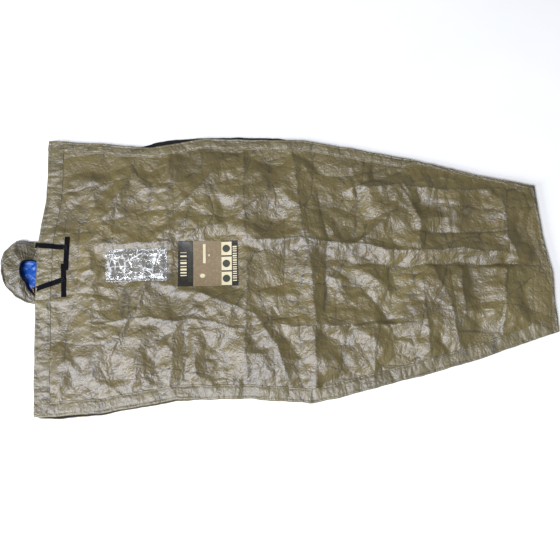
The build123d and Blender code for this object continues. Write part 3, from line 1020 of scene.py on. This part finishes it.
def base_grid(margin, at_foot):
    """A grid over the base in plan, finer at its edges, with a margin that is wider on the foot half."""
    edge = np.array([0, 0.002, 0.005, 0.010])
    span = 2 * BASE_HALF
    v = np.concatenate([edge / span, np.linspace(0.02, 0.98, 90), 1 - edge[::-1] / span])
    length = FOOT_X - HEAD_X
    u = np.concatenate([edge / length, np.linspace(0.01, 0.99, 170), 1 - edge[::-1] / length])
    v, u = np.meshgrid(v, u)
    head, foot = base_ends(v)
    head = head + margin
    x = head + u * (foot - at_foot - head)
    side = margin + (at_foot - margin) * smooth(FOLD_X - 0.06, FOLD_X, x)
    low, high = base_edge(x, RIGHT) + side, base_edge(x, LEFT) - side
    return x, low + v * (high - low)


def base_inset(x, y):
    """How far a place is inside the base's edge."""
    head, foot = base_ends(find(x, y)[1])
    side = np.minimum(base_edge(x, LEFT) - y, y - base_edge(x, RIGHT))
    return np.minimum(side, np.minimum(x - head, foot - x))


def make_base():
    """The padded base and its lining."""
    x, y = base_grid(margin=0.0, at_foot=0.0)
    roll = rounded(base_inset(x, y), 0.006)
    top = 0.0016 + (PADDED - 0.0026) * roll
    bottom = 0.0012 * (1 - roll) + np.maximum(bumps(x, y, 0.0006, 0.05, 19) - 0.0002, 0) * roll
    pad = make_pad("base_padding", x, y, top, bottom)
    finish_piece(pad, OLIVE, "outer_fabric", "base_shell", "base_insulation")
    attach(pad, "base")

    x, y = base_grid(margin=0.004, at_foot=0.034)
    free = smooth(0.045, 0.10, base_inset(x, y))
    crinkle = blur(crumples(x, y, 0.04, 25, 0.0, 0.004), 1)
    z = PADDED - 0.0002 + (0.55 * crinkle + bumps(x, y, 0.0006, 0.02, 8)) * free
    z = z - 0.003 * (1 - smooth(0.0, 0.009, base_inset(x, y)))
    lining = make_sheet("base_lining", x, y, z)
    finish_piece(lining, BLUE, "liner_fabric", "base_liner")
    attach(lining, "base")
    cloth_area(x, y)


def make_base_hem():
    """The hem across the base's head end."""
    low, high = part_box("base_head_hem")
    y, share = np.meshgrid(np.linspace(low.y, high.y, 300), np.linspace(0, 1, 12))
    _, v = find(np.full(y.shape, low.x), y)
    start = np.maximum(low.x - 0.001, head_edge(v) + 0.001)
    x = start + share * (high.x - start)
    rib = 0.0007 * noise(y / 0.010, x / 0.05, 14)
    stitched = bell(x - high.x + 0.006, 0.002)
    top = high.z + 0.0004 + rib - 0.0012 * stitched
    hem = make_pad("base_hem", x, y, top, 0 * top + low.z - 0.0004)
    finish_piece(hem, HEM, "outer_fabric", "base_head_hem")
    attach(hem, "base")


def closure_tape(kind, side_name, x, y, width, ripple=0.0):
    """One tape of a side closure, along a line of its middle in plan."""
    node = f"side_{kind}_tape_{side_name}"
    low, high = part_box(node)
    z = (low.z + high.z) / 2 + ripple * noise(x / 0.02, 0.3, 40)
    path = np.stack([x, y, z], -1)
    tape = make_tape(f"{kind}_tape_{side_name}", path, width, thickness=high.z - low.z, spacing=0.005)
    return finish_piece(tape, {"hook": HOOKS, "loop": LOOPS}[kind], "touch_fastener", node)


def make_closures():
    """Hook tape along both sides of the base, and loop tape under both rims of the cover."""
    hook_width, hook_inset = 0.026, 0.003
    loop_width, loop_inset = 0.024, 0.004
    x = np.linspace(*CLOSURE, 260)
    for name, side in SIDES.items():
        y = base_edge(x, side) - side * (hook_inset + hook_width / 2)
        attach(closure_tape("hook", name, x, y, hook_width, 0.0002), "base")
        y = side_edge(x, side) - side * (loop_inset + loop_width / 2)
        fold_with_cover(closure_tape("loop", name, x, y, loop_width))


def make_foot_seam():
    """The folded allowance that sews the foot half of the cover to the base."""
    path, inward = side_path(FOLD_X + 0.008, FOLD_X + 0.008)
    low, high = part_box("foot_seam")
    section = [(0.003, 0.3), (0.004, 0.9), (0.010, 1.0), (0.032, 0.9), (0.033, 0.2), (0.010, 0.0)]
    plan = np.stack([path + inward * a for a, _ in section], 1)
    z = np.array([low.z + b * (high.z - low.z) for _, b in section])
    rings = np.concatenate([plan, np.broadcast_to(z, plan.shape[:2])[..., None]], -1)
    seam = make_tube("foot_join", rings)
    finish_piece(seam, OLIVE, "outer_fabric", "foot_seam")
    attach(seam, "base")


# ---------------------------------------------------------------- hood and yoke

HOOD_MIDDLE = (-0.990, SHIFT - 0.012)
# The panel under the hood, which is round past NECK_ROUND_X
NECK_RADIUS = 0.098
NECK_HALF = 0.112
NECK_ROUND_X = -0.985
NECK_TIP = HOOD_MIDDLE[0] - NECK_RADIUS
# The hood's outline and face opening from above, as pairs of degrees round from the tip and radius
HOOD_OUTLINE = [(-114, 0.142), (-99, 0.130), (-75, 0.117), (-54, 0.107), (-35, 0.106), (-13, 0.107),
                (8, 0.114), (24, 0.122), (38, 0.129), (52, 0.129), (68, 0.134), (79, 0.128), (90, 0.113),
                (124, 0.114)]
HOOD_RIM = [(-114, 0.104), (-102, 0.092), (-94, 0.078), (-82, 0.048), (-60, 0.034), (-31, 0.028), (0, 0.025),
            (31, 0.028), (60, 0.036), (108, 0.046), (124, 0.046)]


def neck_half(x):
    """Half the width in plan of the panel under the hood and of the yoke."""
    past = (NECK_ROUND_X - x) / (NECK_ROUND_X - NECK_TIP)
    round_part = NECK_HALF * np.sqrt(np.clip(1 - past ** 2, 0.02, 1))
    return np.where(x < NECK_ROUND_X, round_part, NECK_HALF - 0.1 * (x - NECK_ROUND_X))


def hood_floor(x, y):
    """How low the hood's cloth may lie: on the panel inside it, and nearly on the ground outside that."""
    inside = np.minimum(neck_half(x) - np.abs(y - SHIFT), x - NECK_TIP)
    return 0.005 + (PADDED + 0.002) * smooth(-0.008, 0.002, inside) * smooth(-0.96, -1.0, x)


def hood_tucks(s, turn):
    """How deep the two tucks round the hood's outer side are, from 0 to 1."""
    first = bell(s - 0.60 + turn / 900, 0.05) * (1 - smooth(10, 40, turn)) * smooth(-100, -80, turn)
    second = bell(s - 0.78 - turn / 700, 0.04) * (1 - smooth(30, 60, turn)) * smooth(-60, -40, turn)
    return first, second


def hood_shape(s, turn):
    """The hood's cloth from its face opening over the top and down to the ground."""
    outer = along(HOOD_OUTLINE, turn) + wander(turn, size=0.003, length=10, seed=91)
    rim = along(HOOD_RIM, turn) + wander(turn, size=0.002, length=7, seed=92)
    back = np.cos(np.radians(turn) * 0.62)
    top = (HOOD_TOP - 0.006) * (0.30 + 0.70 * smooth(0.33, 0.85, back))
    swing = s * math.pi / 2
    radius = rim + (outer - rim) * np.sin(swing) ** 0.8
    hem_height = 0.0016
    height = hem_height + (top - hem_height) * np.cos(swing) ** 0.6
    pleat = np.abs(noise(turn / 7.5, s * 0.8, 93)) - 0.35
    height = height + pleat * 0.008 * bell(s - 0.12, 0.20) * smooth(0, 0.1, s)
    first, second = hood_tucks(s, turn)
    height = height - (0.008 * first + 0.006 * second) * (1 - smooth(0.78, 0.9, s))
    lump = 0.016 * (noise(turn / 24, s * 2.4, 94) - 0.2)
    lump = lump + 0.007 * (np.abs(noise(turn / 10, s * 5, 95)) - 0.35)
    height = height + lump * np.sin(np.pi * np.clip(s * 1.1, 0, 1)) * (0.3 + 0.7 * back)
    height = height - 0.004 * (1 - smooth(0, 0.12, s))
    x = HOOD_MIDDLE[0] - radius * np.cos(np.radians(turn))
    y = HOOD_MIDDLE[1] + radius * np.sin(np.radians(turn))
    floor = hood_floor(x, y)
    lifted = floor + 0.5 * (height - floor + np.sqrt((height - floor) ** 2 + 0.003 ** 2))
    height = height + (lifted - height) * (1 - smooth(0.90, 1.0, s))
    return np.stack([x, y, np.clip(height, 0.001, HOOD_TOP)], -1)


def hood_inside(outer, s):
    """The lining's points: the outer cloth's, drawn in a little and lower than anything close by."""
    inner = outer.copy()
    drawn_in, below, ground_gap = 0.004, 0.003, 0.0012
    inner[..., :2] -= drawn_in * smooth(0, 0.3, s)[..., None] * unit(outer[..., :2] - HOOD_MIDDLE)
    inner[..., 2] = np.maximum(lowest_near(outer[..., 2], 2) - below, ground_gap)
    return inner


def fold_with_hood(piece):
    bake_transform(piece)


def sheet_uv(points):
    """Distances along and across a grid of points."""
    return np.stack([np.linalg.norm(np.diff(points, axis=a, prepend=points.take([0], a)), axis=2).cumsum(a)
                     for a in (0, 1)], -1)


def mesh_area(points):
    """The area of a grid of points."""
    a, b = points[1:, 1:] - points[:-1, :-1], points[:-1, 1:] - points[1:, :-1]
    return float(np.linalg.norm(np.cross(a, b), axis=2).sum() / 2)


def make_hood():
    """The hood: crumpled outer cloth, turned under at its outline, and the blue lining inside it."""
    s, turn = np.meshgrid(np.linspace(0, 1, 34), np.linspace(HOOD_OUTLINE[0][0], HOOD_OUTLINE[-1][0], 150))
    outer = hood_shape(s, turn)
    middle = np.array([*HOOD_MIDDLE, 0.0])
    turned_in, ground_gap = (0.99, 0.95, 0.90, 0.84), 0.0009
    under = np.stack([middle + (outer[:, -1] - middle) * share for share in turned_in], 1)
    under[..., 2] = ground_gap
    whole = np.concatenate([outer, under], 1)
    piece = make_grid("hood_outer", whole, sheet_uv(whole))
    # Painted shade: the hood's cloth is drawn darker in its two tucks
    dark = np.pad(np.maximum(*hood_tucks(s, turn)), ((0, 0), (0, under.shape[1])))
    paint_fold_shade(piece, dark)
    finish_piece(piece, HOOD_OLIVE, "outer_fabric", "hood_shell", "hood_insulation")
    fold_with_hood(piece)
    mesh_area(whole) * 1.1

    inner = hood_inside(outer, s)[:, :-3]
    piece = make_grid("hood_lining", inner, sheet_uv(inner))
    finish_piece(piece, BLUE, "liner_fabric", "hood_liner")
    fold_with_hood(piece)
    mesh_area(inner) * 1.1
    make_hood_binding(outer[:, 0])


def make_hood_binding(rim):
    """The gathered elastic binding round the face opening."""
    radius, gather_depth, gather_length = 0.0030, 0.0007, 0.0042
    rim, run = spaced(rim - (0, 0, 0.0015), 0.0016)
    _, out, up = directions(rim)
    around = np.linspace(0, 2 * math.pi, 12, endpoint=False)[None, :, None]
    gathers = np.sin(run / gather_length * 2 * math.pi)
    thick = (radius + gather_depth * gathers)[:, None, None]
    rings = rim[:, None] + thick * (np.cos(around) * out[:, None] + np.sin(around) * up[:, None] * 1.25)
    piece = make_tube("hood_binding", rings)
    finish_piece(piece, BINDING, "binding", "hood_rim_binding")
    fold_with_hood(piece)


def make_neck():
    """The padded panel that lies under the hood and runs into the base as the yoke, and its lining."""
    steps = np.concatenate([HOOD_MIDDLE[0] - NECK_RADIUS * np.cos(np.linspace(0, math.pi / 2, 26)[:-1]),
                            np.linspace(HOOD_MIDDLE[0], HEAD_X + 0.012, 24)])
    edge = np.array([0, 0.01, 0.03, 0.06])
    v, x = np.meshgrid(np.concatenate([edge, np.linspace(0.1, 0.9, 50), 1 - edge[::-1]]), steps)
    y = SHIFT + (2 * v - 1) * neck_half(x)
    roll = rounded(np.minimum(v, 1 - v), 0.05)
    top = 0.0014 + (PADDED - 0.0020) * roll
    pad = make_pad("neck_padding", x, y, top, 0.001 * (1 - roll))
    finish_piece(pad, HOOD_OLIVE, "outer_fabric", "yoke_shell", "yoke_insulation")
    fold_with_hood(pad)

    y = SHIFT + (2 * v - 1) * (neck_half(x) - 0.006) - 0.010 * smooth(0.6, 1.0, v)
    puff = blur(crumples(x, y, 0.016, 35, -0.002, 0.007, (-1.10, -0.90, -0.14, 0.16)), 1)
    puff = np.maximum(puff, 0) * smooth(0, 0.12, np.minimum(v, 1 - v)) * smooth(NECK_TIP, NECK_TIP + 0.04, x)
    z = PADDED - 0.0003 + puff * smooth(-0.93, -0.96, x)
    z = z - 0.0025 * (1 - roll)
    lining = make_sheet("neck_lining", x, y, z)
    finish_piece(lining, BLUE, "liner_fabric", "yoke_liner")
    fold_with_hood(lining)


def make_neck_gathers():
    """The pleated ends of the face opening at the yoke's corners."""
    for name in SIDES:
        low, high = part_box(f"neck_gather_{name}")
        s, t = np.meshgrid(np.linspace(-1, 1, 60), np.linspace(-1, 1, 40))
        x = (low.x + high.x) / 2 + t * (high.x - low.x) * 0.55
        y = (low.y + high.y) / 2 + SHIFT + s * (high.y - low.y) * 0.62 + 0.002 * noise(t * 3, s * 3, 51)
        crown = np.sqrt(np.clip(1 - np.maximum(np.abs(s), np.abs(t)) ** 4, 0, 1))
        slope = low.z + (high.z - 0.0012 - low.z) * (1 + 0.14 * (t - 1))
        pleats = 0.0016 * np.cos(s * 15 + 2 * noise(t * 2, s * 2, 52)) * crown
        top = low.z - 0.0015 + (slope - low.z + 0.001) * crown + pleats * (1 - 0.6 * (np.abs(s) < 0.7))
        pad = make_pad(f"neck_pleats_{name}", x, y, top, np.full(x.shape, low.z - 0.002))
        finish_piece(pad, HOOD_OLIVE, "outer_fabric", f"neck_gather_{name}")
        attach(pad, "base")


def lie_over(x, y, above):
    """The height of a tape that lies over the bumps of the cover and its head hem along a line."""
    aside = np.linspace(-0.55, 0.55, 7) * STRAP_WIDTH
    tops = [COVER.bed(x + d, y) for d in aside] + [COVER.bed(x, y + d) for d in aside]
    hem = 0.0034 * (1 - smooth(HEAD_HEM - 0.002, HEAD_HEM + 0.004, x - head_edge(find(x, y)[1])))
    z = np.max(tops, axis=0) + hem + above
    return np.maximum(z, blur(z[:, None].repeat(2, 1), 6)[:, 0])


def make_anchor(name, side):
    """The anchor tape across the chest that a strap is sewn to."""
    low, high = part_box(f"anchor_tape_{name}")
    # The tapes overlap in the middle, where the left one climbs over the right one
    lap = 0.011 * side
    y = np.linspace(low.y - 0.003 - max(lap, 0), high.y + 0.003 - min(lap, 0), 60) + SHIFT
    x = (low.x + high.x) / 2 + 0.004 * side * (y - SHIFT - (low.y + high.y) / 2) / (high.y - low.y)
    on_top = (WEBBING + 0.0006) * smooth(0.030, 0.022, y - SHIFT) if side == LEFT else 0
    z = lie_over(x, y, WEBBING / 2 + 0.0001) + on_top
    anchor = make_tape(f"anchor_webbing_{name}", np.stack([x, y, z], -1), STRAP_WIDTH, WEBBING)
    finish_piece(anchor, BLACK_WEBBING, "webbing", f"anchor_tape_{name}")
    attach(anchor, "front_cover")


def make_strap(name, side):
    """A strap from its anchor tape over the mouth to the neck, and the pads that hold it there."""
    low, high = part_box(f"strap_{name}")
    pad_low, pad_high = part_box(f"strap_hook_pad_{name}")
    root_x = JOINTS[f"strap_{name}_peel"]["pos_m"][0]
    root_y = (low.y + STRAP_WIDTH / 2 if side == LEFT else high.y - STRAP_WIDTH / 2) + SHIFT
    tip_y = (pad_low.y + pad_high.y) / 2 + SHIFT
    share = np.linspace(0, 1, 60)
    x = high.x + share * (low.x - high.x)
    y = root_y + share * (tip_y - root_y)
    over_anchor = 0.0004 + WEBBING * smooth(root_x - 0.03, root_x - 0.018, x)
    past = chest_height(x)
    on_cover = np.maximum(lie_over(x, y, WEBBING / 2 + over_anchor), past)
    z = past + (on_cover - past) * smooth(HEAD_X - 0.024, HEAD_X - 0.002, x)
    path = np.stack([x, y, z], -1)
    strap = make_tape(f"strap_webbing_{name}", path, STRAP_WIDTH, WEBBING)
    finish_piece(strap, BLACK_WEBBING, "webbing", f"strap_{name}")
    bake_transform(strap)

    # The hook pad under the strap's tip, and the loop patch that it grips
    tip = path[x < pad_high.x + 0.0005]
    for piece, material, node, down, body in (
            ("strap_pad", HOOKS, "strap_hook_pad", 0.0006, f"strap_{name}"),
            ("neck_patch", LOOPS, "neck_loop_patch", 0.0021, "base")):
        middle = tip - (0, 0, WEBBING / 2 + down)
        pad = make_tape(f"{piece}_{name}", middle, STRAP_WIDTH - 0.001, thickness=0.0012, spacing=0.002)
        finish_piece(pad, material, "touch_fastener", f"{node}_{name}")
        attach(pad, body)
    make_box_stitch(name, path)


def make_box_stitch(name, path):
    """The crossed box of stitches that sews a strap to its anchor tape."""
    start = path[4]
    ahead = (path[12] - path[0]) / np.linalg.norm(path[12] - path[0])
    out = np.cross(ahead, (0, 0, 1.0))
    near, far, reach = -0.004, 0.010, 0.007
    corners = [start + ahead * a + out * b + (0, 0, WEBBING / 2 + 0.0003)
               for a, b in ((near, -reach), (near, reach), (far, reach), (far, -reach))]
    lines = [(0, 1), (1, 2), (2, 3), (3, 0), (0, 2), (1, 3)]
    rows = [make_stitches(f"box_{k}", np.linspace(corners[a], corners[b], 5), pitch=0.0034, length=0.0026)
            for k, (a, b) in enumerate(lines)]
    box = finish_piece(join(f"strap_box_stitch_{name}", rows), BLACK_THREAD, "webbing")
    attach(box, "front_cover")


# ---------------------------------------------------------------- pocket and label


POCKET_BORDER = 0.008


def make_pocket():
    """The clear pocket's crinkled film, which is open towards the head."""
    low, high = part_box("pocket_weld")
    y, x = np.meshgrid(np.linspace(low.y, high.y, 66), np.linspace(low.x, high.x, 122))
    edge = np.minimum(np.minimum(y - low.y, high.y - y), high.x - x)
    area = (low.x - 0.03, high.x + 0.03, low.y - 0.03, high.y + 0.03)
    film = crumples(x, y, 0.022, 55, 0.0, 0.0085, area) + crumples(x, y, 0.009, 56, -0.0009, 0.0009, area)
    loose = smooth(POCKET_BORDER, POCKET_BORDER + 0.012, edge)
    y = y + SHIFT + 0.002 * noise(x / 0.05, 0.4, 57)
    z = COVER.bed(x, y) + 0.0009 + loose * np.maximum(film, 0)
    window = make_sheet("pocket_film", x, y, z)
    finish_piece(window, FILM, "clear_film", "pocket_window")
    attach(window, "front_cover")


def make_pocket_border():
    """The weld round the pocket's other three sides."""
    low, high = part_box("pocket_weld")
    corners = np.array([(low.x, low.y), (high.x, low.y), (high.x, high.y), (low.x, high.y)])
    path, run = spaced(corners, 0.0015)
    middle = POCKET_BORDER / 2
    path = np.clip(path, (low.x, low.y + middle), (high.x - middle, high.y - middle)) + (0, SHIFT)
    rib = 0.0003 * np.sin(run / 0.003 * 2 * math.pi)
    z = COVER.bed(path[:, 0], path[:, 1]) + 0.0013 + rib
    path = np.concatenate([path, z[:, None]], 1)
    weld = make_tape("pocket_border", path, POCKET_BORDER, thickness=0.0008, spacing=0.0015)
    finish_piece(weld, WELDED, "clear_film", "pocket_weld")
    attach(weld, "front_cover")


def label_ink(a, b):
    """The number of the ink at places on the label, in millimetres from its head end and its right side."""
    def bars(width, rows, seed):
        """Pale bars that stand in for printing."""
        return np.sin(b / width * math.pi) > -0.2 + 0.5 * lattice((b // (2 * width)).astype(int), rows, seed)

    def block(a_low, a_high, b_low, b_high):
        return (a > a_low) & (a < a_high) & (b > b_low) & (b < b_high)

    brown = (a > 60) & (a < 171)
    boxes = (a > 171) & (a < 210) & ((b + 4) % 60 > 7)
    picture = boxes & (np.hypot(a - 190, (b + 4) % 60 - 33) < 15)
    title = block(10, 34, 42, 138) & bars(6.5, 3, 1) & (np.abs(((b * 0.5) % 12) - 6) > 0.8)
    lines = block(42, 56, 18, 162) & (a.astype(int) % 6 < 2)
    stripe = block(98, 108, 92, 168)
    shapes = (np.hypot((a - 96) / 1.2, b - 42) < 8) | (np.hypot(a - 122, b - 124) < 3.5)
    footer = block(214, 230, 18, 162) & bars(4.5, 5, 2)
    ink = np.zeros(a.shape, np.int32)
    ink[brown] = 1
    ink[boxes | title | stripe | footer | (shapes & brown)] = 2
    ink[lines | picture] = 3
    return ink


def make_label():
    """The printed label, drawn with blank bars, boxes and shapes in place of its printing."""
    low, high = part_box("label_card")
    step = 0.002
    rows, columns = round((high.x - low.x) / step) + 1, round((high.y - low.y) / step) + 1
    y, x = np.meshgrid(np.linspace(low.y, high.y, columns), np.linspace(low.x, high.x, rows))
    lie_y = y + SHIFT
    z = COVER.read(blur(COVER.z, 40), x, lie_y)
    z = np.maximum(z, COVER.height(x, lie_y)) + 0.0010 + bumps(x, y, 0.0008, 0.05, 66)
    z = blur(z, 3)
    z = np.maximum(z, COVER.height(x, lie_y) + 0.0006)
    card = make_sheet("label_sheet", x, lie_y, z)
    for ink in INKS.values():
        card.data.materials.append(ink)
    # The middle of each face, in millimetres
    a, b = ((p[:-1, :-1] - start) * 1000 + 1 for p, start in ((x, low.x), (y, low.y)))
    card.data.polygons.foreach_set("material_index", label_ink(a, b).ravel())
    finish_piece(card, INKS["black"], "printed_film", "label_card")
    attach(card, "front_cover")


make_cover()
make_hems()
make_base()
make_base_hem()
make_closures()
make_foot_seam()
make_hood()
make_neck()
make_neck_gathers()
for side_name, side_sign in SIDES.items():
    make_anchor(side_name, side_sign)
    make_strap(side_name, side_sign)
make_pocket()
make_pocket_border()
make_label()


# ---------------------------------------------------------------- floor, lights and camera


def make_floor():
    s = Shader("studio_floor")
    tone = s.noise(2.0, vector=s.node("TexCoord").outputs["Object"])
    s.set(Base_Color=s.grey(tone, (0.3, 0.86), (0.7, 0.9)), Roughness=0.9, Specular_IOR_Level=0.1)
    half, under = 30.0, -0.0005
    corners = [(-half, -half, under), (half, -half, under), (half, half, under), (-half, half, under)]
    floor = make_mesh("floor", corners, [(0, 1, 2, 3)])
    floor.data.materials.append(s.material)


# Slightly blue, as on an overcast day
SKY = (0.93, 0.95, 1.0)


def area_light(name, place, size, power):
    """A square light that faces the middle of the sack."""
    light = bpy.data.lights.new(name, "AREA")
    light.shape, light.size, light.energy, light.color = "SQUARE", size, power, SKY
    lamp = bpy.data.objects.new(name, light)
    bpy.context.collection.objects.link(lamp)
    lamp.location = place
    way = Vector((0, 0, 0)) - lamp.location
    lamp.rotation_euler = way.to_track_quat("-Z", "Y").to_euler()


def make_lights():
    world = bpy.data.worlds.new("studio")
    world.use_nodes = True
    background = world.node_tree.nodes["Background"].inputs
    background["Color"].default_value = (*SKY, 1)
    background["Strength"].default_value = 0.28
    bpy.context.scene.world = world
    area_light("key", place=(-1.8, -2.5, 6.0), size=3.0, power=500)
    area_light("rake", place=(-5.6, -3.2, 2.8), size=2.6, power=380)


def make_camera():
    """The photographer stands at the sack's right side and looks almost straight down."""
    elevation, distance, turn = math.radians(80), 3.0, -0.0235
    aim = Vector((-0.005, -0.054, 0))
    data = bpy.data.cameras.new("camera")
    data.sensor_width, data.lens = 36, 48.9
    data.clip_end = 50
    camera = bpy.data.objects.new("camera", data)
    bpy.context.collection.objects.link(camera)
    camera.rotation_euler = (math.pi / 2 - elevation, 0, turn)
    back = Vector((0, -math.cos(elevation), math.sin(elevation)))
    back.rotate(Matrix.Rotation(turn, 3, "Z"))
    camera.location = aim + back * distance
    bpy.context.scene.camera = camera
    bpy.context.scene.view_settings.view_transform = "Standard"


make_floor()
make_lights()
make_camera()
